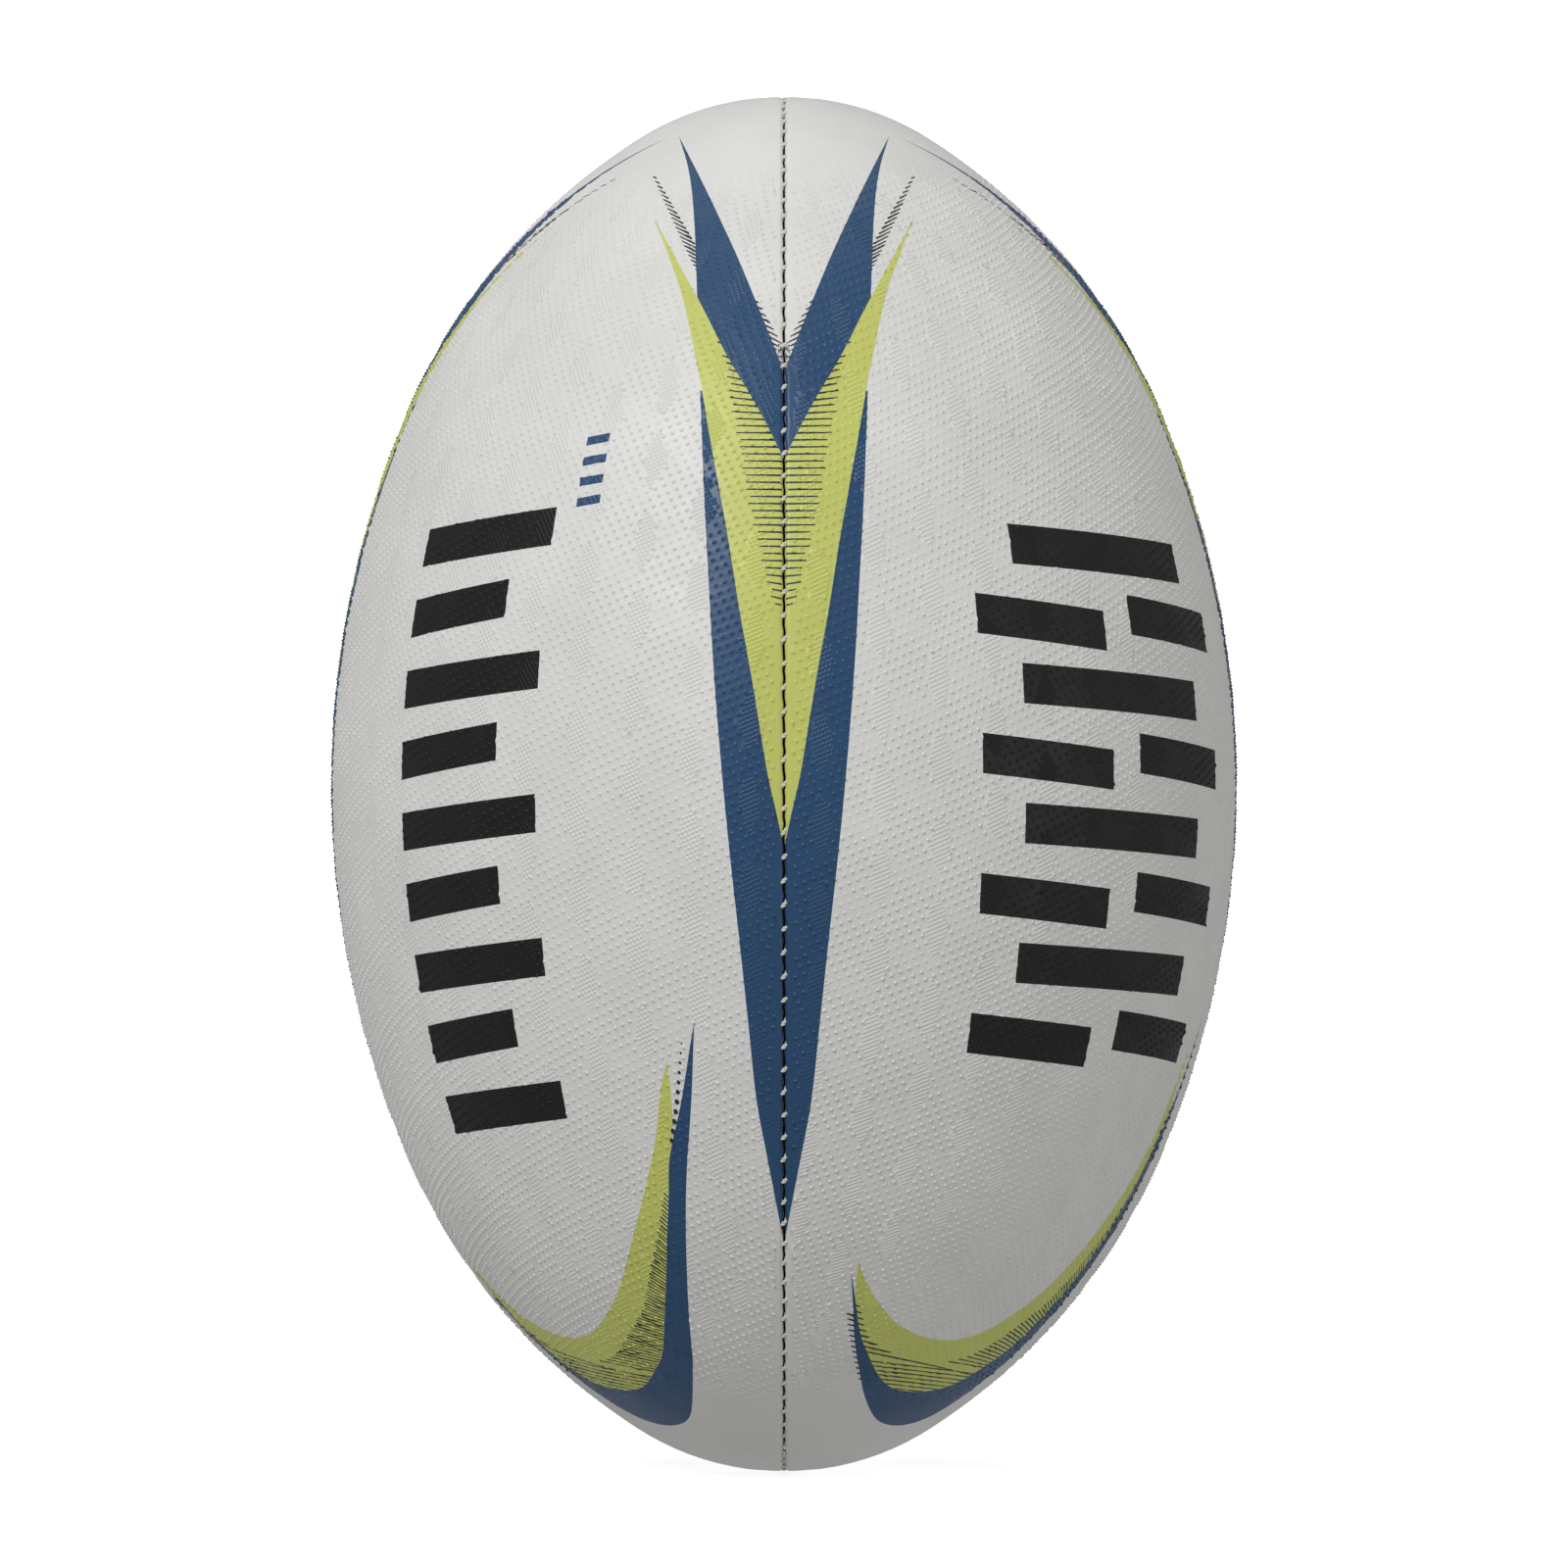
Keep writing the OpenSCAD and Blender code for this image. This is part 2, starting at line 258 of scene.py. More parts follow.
def skin_normals(u, run):
    """Unit normals of the outer face, from its height either side of each point."""
    step = 0.03
    across = -(outer_depth(u + step, run) - outer_depth(u - step, run)) / (2 * step)
    along = -(outer_depth(u, run + step) - outer_depth(u, run - step)) / (2 * step)
    r, _, angle = outline(run)
    turn = HALF_TURN + u / r
    sideways = np.stack([-np.sin(turn), np.cos(turn), np.zeros_like(turn)], 1)
    outwards = np.stack([np.cos(angle) * np.cos(turn), np.cos(angle) * np.sin(turn),
                         np.sin(angle)], 1)
    upwards = np.stack([-np.sin(angle) * np.cos(turn), -np.sin(angle) * np.sin(turn),
                        np.cos(angle)], 1)
    shear = u * np.sin(angle) / r
    a = sideways + across[:, None] * outwards
    b = upwards + shear[:, None] * sideways + along[:, None] * outwards
    n = np.cross(a, b)
    return n / np.linalg.norm(n, axis=1)[:, None]


# -------------------------------------------------------------------- print
WHITE, NAVY, LIME, INK, BLACK = range(5)   # places in a panel's list of materials


def curve(points, step=0.9):
    """A smooth line through the points, with a point at every step."""
    p = np.array(points, float)
    ends = np.vstack([2 * p[0] - p[1], p, 2 * p[-1] - p[-2]])
    out = []
    for i in range(1, len(ends) - 2):
        a, b, c, d = ends[i - 1:i + 3]
        count = max(int(np.linalg.norm(c - b) / step), 1)
        for t in np.arange(count) / count:
            out.append(0.5 * (2 * b + (c - a) * t + (2 * a - 5 * b + 4 * c - d) * t ** 2
                              + (3 * b - a - 3 * c + d) * t ** 3))
    out.append(p[-1])
    return np.array(out)


def line(points, step=0.9):
    """Straight lines through the points, with a point at every step."""
    p = np.array(points, float)
    out = []
    for a, b in zip(p[:-1], p[1:]):
        count = max(int(np.linalg.norm(b - a) / step), 1)
        out += [a + (b - a) * t for t in np.arange(count) / count]
    out.append(p[-1])
    return np.array(out)


def from_seam(points):
    """(distance across from the left seam, height) to (u, run)."""
    p = np.array(points, float)
    run = run_at(p[:, 1])
    r, _, _ = outline(run)
    return np.stack([(np.arcsin(np.clip(p[:, 0] / r, -1, 1)) - HALF_TURN) * r, run], 1)


def from_angle(points):
    """(degrees from the left seam, height) to (u, run)."""
    p = np.array(points, float)
    run = run_at(p[:, 1])
    r, _, _ = outline(run)
    return np.stack([(np.radians(p[:, 0]) - HALF_TURN) * r, run], 1)


BEYOND = -1.5   # closes a shape past the seam

# the V shapes beside a seam, as (distance from the seam, height)
UPPER_OUTER = curve([(22, 135), (19.8, 127), (18.6, 117), (17.8, 99.5)])
UPPER_LOWER = curve([(17.8, 99.5), (16, 96), (11.5, 87), (5.1, 76), (0, 66)])
UPPER_INNER = curve([(0, 84), (5.1, 97), (10, 109), (16.3, 123), (22, 135)])
LIME_OUTER = curve([(27, 117), (23.6, 108), (20.9, 100), (18.7, 90), (16.9, 81), (15.2, 71),
                    (11.4, 50), (9, 35), (6.3, 20), (3.5, 3), (1.5, -6), (0, -13)])
LIME_INNER = curve([(27, 117), (22.6, 108.5), (17.7, 99.2)])
LOWER_OUTER = curve([(17.1, 80), (16.3, 60), (15.5, 45), (14.3, 24), (12.8, 5), (11.2, -12),
                     (9, -32), (7.3, -48), (5.6, -64), (3.4, -76), (1.5, -86), (0, -94)])
HATCH_LIMIT = curve([(14.5, 93), (11.7, 85), (10.6, 77), (8.8, 68), (7.4, 59), (5.9, 52),
                     (4.5, 46), (2.9, 39.5), (1.3, 35)])


def at_height(shape, z):
    """Distance across at a height on a line that runs up or down."""
    order = np.argsort(shape[:, 1])
    return np.interp(z, shape[order, 1], shape[order, 0])


def stroke(a, b, width, taper=0.5, step=1.3):
    """A thin dash from a to b, in (distance, height), narrower at b."""
    a, b = np.array(a, float), np.array(b, float)
    along = (b - a) / max(np.linalg.norm(b - a), 1e-6)
    across = np.array([-along[1], along[0]]) * width / 2
    return line([a + across, b + across * taper, b - across * taper, a - across, a + across],
                step)


# widths of the dashes beside the V shapes, and their end's width as a share of it
HATCH_WIDTH, TOOTH_WIDTH, DASH_TAPER = 0.44, 0.42, 0.6


def lime_hatch():
    """Dashes across the lime, from the upper V or the seam out to the hatch's limit."""
    made = []
    for i, z in enumerate(np.arange(36.5, 93, 1.45)):
        outer = at_height(HATCH_LIMIT, z) + 0.35 * math.sin(i * 2.4)
        inner = max(at_height(UPPER_LOWER, z), 0.0) - 0.4
        slope = -0.35 * smooth(z, 70, 93) - 0.25 * (1 - smooth(z, 36, 46))
        if outer - inner > 0.8:
            lean = (outer - inner) * slope
            made.append(stroke((inner, z + lean), (outer, z), HATCH_WIDTH, DASH_TAPER, 0.4))
    return made


def inner_teeth(count=12):
    """Short dashes on the inner edge of the upper V, shorter towards its top."""
    made = []
    for i in range(count):
        z = 84.8 + 1.25 * i
        edge = at_height(UPPER_INNER, z)
        length = min(edge - 0.1, 0.5 + 3.2 * (1 - i / (count - 1)))
        if length > 0.4:
            made.append(stroke((edge + 0.3, z + 0.15), (edge - length, z - 0.5 * length),
                               TOOTH_WIDTH, DASH_TAPER))
    return made


def outer_teeth(count=21):
    """Slanted dashes outside the upper V, under a line that rises away from it."""
    made = []
    for i in range(count):
        z, share = 105.5 + i * 1.02, i / (count - 1)
        outer = 18.2 + 9.0 * share ** 0.95
        inner = max(at_height(UPPER_OUTER, z - 1.2) - 0.2, outer - 3.9 + 3.2 * share ** 1.4)
        if outer - inner > 0.35:
            made.append(stroke((inner, z - 0.55 * (outer - inner)), (outer, z),
                               TOOTH_WIDTH, DASH_TAPER))
    return made


# the hook low on a panel, as (degrees from the left seam, height)
HOOK_OUTER = curve([(11.7, -100), (12.9, -106), (14.7, -113.5), (17.6, -120), (22.5, -126.6),
                    (29.8, -131.3), (38, -133.3), (48, -133.6), (57, -132), (63, -128),
                    (67.8, -121), (70.2, -114), (72.9, -100), (75.4, -80), (77.2, -64),
                    (78.3, -48)])
HOOK_LEFT = curve([(78.3, -48), (76, -63), (74.3, -71), (73, -77), (71.7, -87), (68.3, -103),
                   (63, -116), (57, -121.5), (50, -125), (42.6, -126), (36.7, -126),
                   (29.6, -125), (23.5, -122), (18.6, -117), (15.2, -111.5), (11.7, -100)])
HOOK_LIME_UPPER = curve([(12.7, -97.6), (15.5, -103.3), (19.6, -108), (23.8, -111.3),
                         (31, -114), (39, -114.8), (47, -113), (55, -107.5), (61, -100),
                         (67, -87), (71, -74), (73, -62), (74.3, -56)])
HOOK_LIME_LOWER = curve([(74.3, -56), (74.1, -70), (71.4, -88), (68.2, -103.5), (62.8, -116.5),
                         (50, -125.4), (36.7, -126.4), (23.5, -122.4), (15.3, -112.5),
                         (13.3, -106), (12.7, -97.6)])
HOOK_HATCH = curve([(17.0, -113.0), (19.6, -115.0), (25.7, -117.7), (33.7, -119.5), (43, -119.5),
                    (51, -117), (59, -111), (63.5, -106), (68.8, -93.5), (71.7, -83.6)])


def reach(start, heading, region, limit=45.0, step=0.25):
    """The point at which a line from start leaves a region."""
    along = np.arange(step, limit, step)[:, None]
    towards = np.array([math.cos(heading), math.sin(heading)])
    held = inside(start + along * towards, region)
    last = len(held) if held.all() else int(np.argmin(held))
    return start + towards * (last * step)


def panel_angle(point):
    """Degrees from the panel's left seam, of a point in (u, run)."""
    radius = float(outline(np.array([point[1]]))[0][0])
    return 45 + math.degrees(point[0] / radius)


# the dashes of the hook, by degrees from the left seam: their slope, and the gap between them
HATCH_SLOPE = ((14, 20, 37, 44, 52, 57, 61, 63, 65, 68, 72),
               (-20, -13, -9, -12, -17, -21, -25, -31, -42, -54, -60))
HATCH_GAP = ((20, 40, 65), (1.2, 1.1, 0.85))


def hatch_heading(point):
    """Direction of the hook's dashes at a point in (u, run), in radians."""
    return math.radians(float(np.interp(panel_angle(point), *HATCH_SLOPE)))


def hatch_seeds(path, seed):
    """Points along a path whose dashes lie a gap apart, counted from the dash at seed."""
    heading = hatch_heading(seed)
    for point in path:
        step = point - seed
        apart = abs(math.cos(heading) * step[1] - math.sin(heading) * step[0])
        if apart >= float(np.interp(panel_angle(point), *HATCH_GAP)):
            seed, heading = point, hatch_heading(point)
            yield seed


def hook_strokes():
    """Dashes between the lime and the navy of the hook, in (u, run)."""
    fine = 0.08
    limit, edge = line(from_angle(HOOK_HATCH), fine), line(from_angle(HOOK_LEFT)[::-1], fine)
    region = np.vstack([from_angle(HOOK_HATCH), from_angle(HOOK_LEFT)])
    lowest = int(np.argmin(limit[:, 1] + math.tan(math.radians(10)) * limit[:, 0]))
    top = limit[lowest]
    heading = hatch_heading(top)
    left_end = reach(top + (0.0, -0.3), heading + math.pi, region)
    down = top - np.array([0, 1.0]) * np.arange(0, 12, fine)[:, None]
    corner = int(np.argmin(np.linalg.norm(edge - left_end, axis=1)))
    made = []
    for family, both_ways in ((hatch_seeds(down, top - (0.0, 0.2)), True),
                              (hatch_seeds(edge[corner::-1], left_end), False),
                              (hatch_seeds(limit[lowest:], top), False)):
        for i, seed in enumerate(family):
            heading = hatch_heading(seed)
            towards = np.array([math.cos(heading), math.sin(heading)])
            start = reach(seed, heading + math.pi, region) if both_ways else seed
            end = reach(seed + 0.3 * towards, heading, region)
            if np.linalg.norm(end - start) > 0.7:
                wobble = 0.25 * math.sin(i * 1.9)
                made.append(stroke(start - towards * (0.15 + wobble), end + 0.3 * towards,
                                   0.36, 0.85))
    return made


def dots(points, size):
    """A small upright oval at each point."""
    made = []
    for (u, run), radius in zip(points, size):
        turn = np.linspace(0, 2 * math.pi, 9)
        made.append(np.stack([u + radius * np.cos(turn), run + radius * 1.25 * np.sin(turn)], 1))
    return made


def hook_edge(shape, z):
    """The point in (u, run) at a height on one of the hook's lines."""
    return from_angle([(at_height(shape, z), z)])[0]


def hook_dots(count=11):
    """A row of dots beside the navy's long branch, larger and nearer downwards."""
    branch = HOOK_LEFT[:40]    # its first stretch, which only falls
    made, size = [], []
    for i in range(count):
        u, run = hook_edge(branch, -52.5 - 2.0 * i)
        made.append((u - 1.9 + 0.17 * i, run))
        size.append(0.2 + 0.05 * min(i, 6))
    return dots(made, size)


def hook_teeth(count=13):
    """Short dashes on the left edge of the hook, shorter downwards."""
    tip = HOOK_OUTER[:30]    # its first stretch, which only falls
    made = []
    for i in range(count):
        u, run = hook_edge(tip, -109.0 - 1.15 * i)
        length = 1.7 - 0.08 * i
        made.append(stroke((u + 0.3, run), (u - length, run + 0.35 * length), 0.45, 0.7))
    return made


def bar(colour, low, high, start, rise, tall):
    """A slanted bar between two angles, from the height of its lower left corner."""
    corners = [(low, start), (high, start + rise), (high, start + rise + tall),
               (low, start + tall), (low, start)]
    return colour, line(from_angle(corners))


def slanted_bars():
    """A plain column of slanted bars, with four small ones above it."""
    column = [bar(BLACK, 34.5, (58, 52)[i % 2], -72.2 + 14.6 * i, 4.0, 7.8) for i in range(9)]
    small = [bar(NAVY, 61, 64.5, 56.3 + 4.2 * i, 0.8, 1.8) for i in range(4)]
    return column + small


def staggered_bars(with_hole):
    """A plain block of slanted bars, in rows of two and one, that leaves the valve clear."""
    rows = [((25, 45), (50, 70)), ((31, 64),)] * 4
    if with_hole:
        rows[3:5] = ((31, 39), (51, 64)), ((25, 37), (53, 70))
    return [bar(BLACK, low, high, -54.6 + 14.2 * i, -3.4, 8.2)
            for i, spans in enumerate(rows) for low, high in spans]


def mirrored(shape):
    """A line on the other side of the panel's centre line."""
    return np.stack([-shape[:, 0], shape[:, 1]], 1)


def print_shapes(mark, with_hole):
    """The panel's printed shapes in painting order, as (colour, closed line in (u, run))."""
    low = line([(BEYOND, -94), (BEYOND, 80), (17.1, 80)])
    middle = line([(BEYOND, -13), (BEYOND, 74), (5, 86), (11.5, 95), (17.6, 99)])
    high = line([(BEYOND, 66), (BEYOND, 84)])
    seam = [(NAVY, np.vstack([LOWER_OUTER, low])),
            (LIME, np.vstack([LIME_OUTER, middle, LIME_INNER[::-1]]))]
    seam += [(INK, s) for s in lime_hatch() + inner_teeth() + outer_teeth()]
    seam.append((NAVY, np.vstack([UPPER_OUTER, UPPER_LOWER, high, UPPER_INNER])))
    shapes = []
    for colour, shape in seam:
        flat = from_seam(shape)
        shapes += [(colour, flat), (colour, mirrored(flat))]
    shapes.append((LIME, from_angle(np.vstack([HOOK_LIME_UPPER, HOOK_LIME_LOWER]))))
    shapes += [(INK, s) for s in hook_strokes()]
    shapes.append((NAVY, from_angle(np.vstack([HOOK_OUTER, HOOK_LEFT]))))
    shapes += [(INK, s) for s in hook_dots() + hook_teeth()]
    return shapes + (slanted_bars() if mark == "column" else staggered_bars(with_hole))


def inside(points, shape):
    """Which points lie in a closed line, by counting crossings."""
    found = np.zeros(len(points), bool)
    low, high = shape.min(0), shape.max(0)
    near = np.nonzero(((points >= low) & (points <= high)).all(1))[0]
    x, y = points[near, 0], points[near, 1]
    odd = np.zeros(len(near), bool)
    for (ax, ay), (bx, by) in zip(shape, np.roll(shape, -1, axis=0)):
        if ay == by:
            continue
        crosses = (ay > y) != (by > y)
        odd ^= crosses & (x < ax + (bx - ax) * (y - ay) / (by - ay))
    found[near] = odd
    return found


# ------------------------------------------------------------------- panels
TIP_R = 0.62                     # a panel ends this far from the axis
END_RUN = float(np.interp(-TIP_R, -TABLE_R[2000:], TABLE_RUN[2000:]))
RUNS = np.linspace(-END_RUN, END_RUN, 281)
OUTER_ROWS = (0.25, 0.28, 0.34, 0.43, 0.55, 0.70, 0.90, 1.25, 1.90)
INNER_ROWS = (1.45, 1.60, 1.90, 2.40, 3.20)
VALVE_HOLE = 4.35


def row(distance, last, edge, wander):
    """A line at a distance from a seam, drawn together near the tips."""
    r, _, _ = outline(RUNS)
    room = 0.93 * r * math.sin(HALF_TURN)
    first = np.minimum(edge, room)
    share = np.clip((room - first) / (last - edge), 0, 1)
    x = first + (distance - edge) * share
    x = x + wander * waver(RUNS) * np.exp(-x / 2) * share
    return np.stack([(np.arcsin(x / r) - HALF_TURN) * r, RUNS], 1)


def side_rows(distances, edge):
    """The lines beside the left seam and beside the right one."""
    return ([row(d, distances[-1], edge, 1) for d in distances],
            [mirrored(row(d, distances[-1], edge, -1)) for d in distances])


def lattice(pitch, large, shift=0.0, margin=0.0):
    """Centres of the bumps of one size, or with a shift the places between them."""
    count = int(1.5 * FULL_RUN / pitch)
    steps = np.arange(-count, count + 1) + shift
    p = np.stack(np.meshgrid(steps, steps), -1).reshape(-1, 2) @ BUMP_ROWS.T * pitch
    p = p[np.abs(p[:, 1]) < END_RUN - 2]
    r, _, _ = outline(p[:, 1])
    p = p[np.abs(p[:, 0]) < r * HALF_TURN - GRIP_SEAM]
    keep = in_patch(p[:, 0], p[:, 1], margin) != large
    return p[keep & (grip_share(p[:, 0], p[:, 1]) > 0.03)]


def ring(centres, radius, count, turned):
    """A ring of points round each centre, turned by a share of their spacing."""
    turn = (np.arange(count) + turned) * 2 * math.pi / count
    offset = radius * np.stack([np.cos(turn), np.sin(turn)], 1)
    return (centres[:, None, :] + offset[None, :, :]).reshape(-1, 2)


def filling(step, edge, margin):
    """A plain grid of points across the panel."""
    s = np.arange(-END_RUN + step, END_RUN, step)
    out = []
    for i, run in enumerate(s):
        r = float(outline(np.array([run]))[0][0])
        half = (HALF_TURN - math.asin(min(edge / r, 0.7))) * r - margin
        if half > 0:
            count = max(int(2 * half / step), 1)
            out.append(np.stack([np.linspace(-half, half, count + 1)
                                 + (i % 2) * 0.1 * step, np.full(count + 1, run)], 1))
    return np.vstack(out)


def clear(points, margin):
    """The points that lie more than a margin outside the valve's hole."""
    return points[np.hypot(points[:, 0], points[:, 1]) > VALVE_HOLE + margin]


def around(count):
    """The edges of a closed loop of points."""
    k = np.arange(count)
    return np.stack([k, (k + 1) % count], 1)


def triangulate(left, right, rows, shapes, loose, hole):
    """Triangles between the panel's two edges, with the rows and shapes as their sides."""
    loop = np.vstack([left, right[::-1]])
    points, edges = [loop], [around(len(loop))]
    total = len(loop)
    for shape in rows + shapes:
        points.append(shape)
        edges.append(np.stack([np.arange(len(shape) - 1), np.arange(1, len(shape))], 1) + total)
        total += len(shape)
    if hole is not None:
        points.append(hole)
        edges.append(around(len(hole)) + total)
    points.append(loose)
    flat = np.vstack(points)
    made = delaunay_2d_cdt([Vector(p) for p in flat], np.vstack(edges).tolist(), [], 0, 1e-5,
                           False)
    flat, faces = np.array([tuple(v) for v in made[0]]), np.array(made[2])
    middle = flat[faces].mean(1)
    keep = middle[:, 0] > np.interp(middle[:, 1], left[:, 1], left[:, 0])
    keep &= middle[:, 0] < np.interp(middle[:, 1], right[:, 1], right[:, 0])
    if hole is not None:
        keep &= np.hypot(middle[:, 0], middle[:, 1]) > VALVE_HOLE * 0.998
    faces = faces[keep]
    used = np.unique(faces)
    new = np.full(len(flat), -1)
    new[used] = np.arange(len(used))
    return flat[used], new[faces]


def clipped(shape, with_hole):
    """The parts of a closed line that lie well inside the panel."""
    closed = np.vstack([shape, shape[:1]])
    left, right = seam_distances(closed[:, 0], closed[:, 1])
    keep = (left > EDGE + 0.08) & (right > EDGE + 0.08)
    r, _, _ = outline(closed[:, 1])
    keep &= np.abs(closed[:, 0]) < r * HALF_TURN - EDGE - 0.1
    if with_hole:
        keep &= np.hypot(closed[:, 0], closed[:, 1]) > VALVE_HOLE + 0.3
    parts, part = [], []
    for point, good in zip(closed, keep):
        if good:
            part.append(point)
        elif part:
            parts.append(part)
            part = []
    parts.append(part)
    return [np.array(p) for p in parts if len(p) > 1]


def rim(faces, count):
    """For each vertex on a hole or an edge of the mesh, the next one along it."""
    sides = np.vstack([faces[:, [0, 1]], faces[:, [1, 2]], faces[:, [2, 0]]])
    code = sides[:, 0].astype(np.int64) * count + sides[:, 1]
    back = sides[:, 1].astype(np.int64) * count + sides[:, 0]
    alone = sides[~np.isin(code, back)]
    return dict(alone.tolist())


def walk(chain, start):
    """The closed loop of a rim that goes through a vertex."""
    loop, at = [start], chain[start]
    while at != start:
        loop.append(at)
        at = chain[at]
    return loop


def panel_mesh(name, mark, with_hole):
    """One moulded panel: the gripped outer face, the turned-in edges and the inner face."""
    shapes = print_shapes(mark, with_hole)
    left, right = side_rows(OUTER_ROWS, EDGE)
    rows = [r[3:-3] for r in left[1:] + right[1:]]
    big, small = lattice(BIG_PITCH, True), lattice(SMALL_PITCH, False)
    plain = filling(3.0, OUTER_ROWS[-1], 0.8)
    plain = plain[grip_share(plain[:, 0], plain[:, 1]) < 0.03]
    loose = np.vstack([big, ring(big, BIG_RADIUS * STEEPEST, 6, 0),
                       ring(big, BIG_RADIUS, 6, 0.5), small,
                       ring(small, SMALL_RADIUS * STEEPEST, 4, -0.18),
                       lattice(SMALL_PITCH, False, 0.5, SMALL_PITCH / 2), plain])
    hole = ring(np.zeros((1, 2)), VALVE_HOLE, 64, 0) if with_hole else None
    if with_hole:
        loose = clear(loose, 0.1)
    lines = [part for _, shape in shapes for part in clipped(shape, with_hole)]
    flat, faces = triangulate(left[0], right[0], rows, lines, loose, hole)
    middle = flat[faces].mean(1)
    colour = np.full(len(faces), WHITE, np.int32)
    for index, shape in shapes:
        colour[inside(middle, shape)] = index
    # the inner face
    left, right = side_rows(INNER_ROWS, INNER_EDGE)
    inner_rows = [r[6:-6] for r in left[1:] + right[1:]]
    inner_loose = filling(5.0, INNER_ROWS[-1], 1.5)
    if with_hole:
        inner_loose = clear(inner_loose, 1.5)
    inner_flat, inner_faces = triangulate(left[0], right[0], inner_rows, [], inner_loose, hole)
    return {"name": name, "flat": flat, "faces": faces, "colour": colour,
            "inner_flat": inner_flat, "inner_faces": inner_faces, "hole": with_hole}


def joined(data):
    """Points, triangles and outer-face normals of the closed panel, and how many points its outer
    face has.
    """
    flat, inner_flat = data["flat"], data["inner_flat"]
    faces, inner_faces = data["faces"], data["inner_faces"]
    skin = place(flat[:, 0], flat[:, 1], outer_depth(flat[:, 0], flat[:, 1]))
    lining = place(inner_flat[:, 0], inner_flat[:, 1], inner_depth(inner_flat[:, 0],
                                                                   inner_flat[:, 1]))
    normals = skin_normals(flat[:, 0], flat[:, 1])
    points = [skin, lining]
    total = len(skin) + len(lining)
    triangles = [faces, inner_faces[:, ::-1] + len(skin)]
    outer_chain = rim(faces, len(flat))
    inner_chain = rim(inner_faces, len(inner_flat))

    def lowest(chain, coordinates):
        """The lowest vertex of a chain, and of those the leftmost."""
        keys = np.array(list(chain))
        return int(keys[np.argmin(coordinates[keys, 1] * 1000 + coordinates[keys, 0])])

    outer_loop = walk(outer_chain, lowest(outer_chain, flat))
    inner_loop = walk(inner_chain, lowest(inner_chain, inner_flat))
    if len(outer_loop) != len(inner_loop):
        raise RuntimeError(f"{data['name']}: the rims have {len(outer_loop)} and "
                           f"{len(inner_loop)} points")

    def wall(first, second, outer_rings):
        """Triangles from a rim of the outer face over some rings to one of the inner face."""
        nonlocal total
        rings = [np.array(first)]
        for places in outer_rings:
            points.append(places)
            rings.append(np.arange(len(places)) + total)
            total += len(places)
        rings.append(np.array(second) + len(skin))
        made = []
        for a, b in zip(rings[:-1], rings[1:]):
            c, d = np.roll(a, -1), np.roll(b, -1)
            made += [np.stack([a, b, c], 1), np.stack([c, b, d], 1)]
        triangles.append(np.vstack(made))

    edge, back = flat[outer_loop], inner_flat[inner_loop]
    start = outer_depth(edge[:, 0], edge[:, 1])
    levels = [place(edge[:, 0], edge[:, 1], start + (FLANGE_DEPTH - start) * t)
              for t in (0.35, 0.7, 1.0)]
    start = inner_depth(back[:, 0], back[:, 1])
    levels += [place(back[:, 0], back[:, 1], start + (FLANGE_DEPTH - start) * t)
               for t in (1.0, 0.5)]
    wall(outer_loop, inner_loop, levels)
    if data["hole"]:
        left_outer = [k for k in outer_chain if k not in set(outer_loop)]
        left_inner = [k for k in inner_chain if k not in set(inner_loop)]
        first = max(left_outer, key=lambda k: flat[k, 0])
        second = max(left_inner, key=lambda k: inner_flat[k, 0])
        wall(walk(outer_chain, first), walk(inner_chain, second), [])
    return np.vstack(points), triangles, normals, len(skin)


def mesh_object(name, points, faces):
    """A smooth mesh in the scene, from points in metres and faces with one number of sides."""
    mesh = bpy.data.meshes.new(name)
    points, faces = np.asarray(points, np.float32), np.asarray(faces, np.int32)
    sides = faces.shape[1]
    mesh.vertices.add(len(points))
    mesh.vertices.foreach_set("co", points.ravel())
    mesh.loops.add(faces.size)
    mesh.loops.foreach_set("vertex_index", faces.ravel())
    mesh.polygons.add(len(faces))
    mesh.polygons.foreach_set("loop_start", np.arange(0, faces.size, sides, dtype=np.int32))
    mesh.update(calc_edges=True)
    mesh.polygons.foreach_set("use_smooth", np.ones(len(faces), bool))
    made = bpy.data.objects.new(name, mesh)
    bpy.context.scene.collection.objects.link(made)
    return made


def turned(points, degrees):
    """Points turned about the ball's axis."""
    a = math.radians(degrees)
    m = np.array([[math.cos(a), -math.sin(a), 0], [math.sin(a), math.cos(a), 0], [0, 0, 1]])
    return points @ m.T


# ---------------------------------------------------------------- materials
def node_material(name):
    """A new material with its node tree, its shader and the object's coordinates."""
    made = bpy.data.materials.new(name)
    made.use_nodes = True
    tree = made.node_tree
    shader = tree.nodes["Principled BSDF"]
    where = tree.nodes.new("ShaderNodeTexCoord")
    return made, tree, shader, where.outputs["Object"]


def noise(tree, where, scale, detail=3.0, rough=0.55):
    """A noise value whose grains are about 1 / scale metres across."""
    n = tree.nodes.new("ShaderNodeTexNoise")
    n.inputs["Scale"].default_value = scale
    n.inputs["Detail"].default_value = detail
    n.inputs["Roughness"].default_value = rough
    tree.links.new(where, n.inputs["Vector"])
    return n.outputs["Fac"]


def ramp(tree, value, stops):
    """A colour for each value, from (value, colour) pairs."""
    n = tree.nodes.new("ShaderNodeValToRGB")
    for (at, colour), e in zip((stops[0], stops[-1]), n.color_ramp.elements):
        e.position, e.color = at, (*colour, 1)
    for at, colour in stops[1:-1]:
        n.color_ramp.elements.new(at).color = (*colour, 1)
    tree.links.new(value, n.inputs["Fac"])
    return n.outputs["Color"]


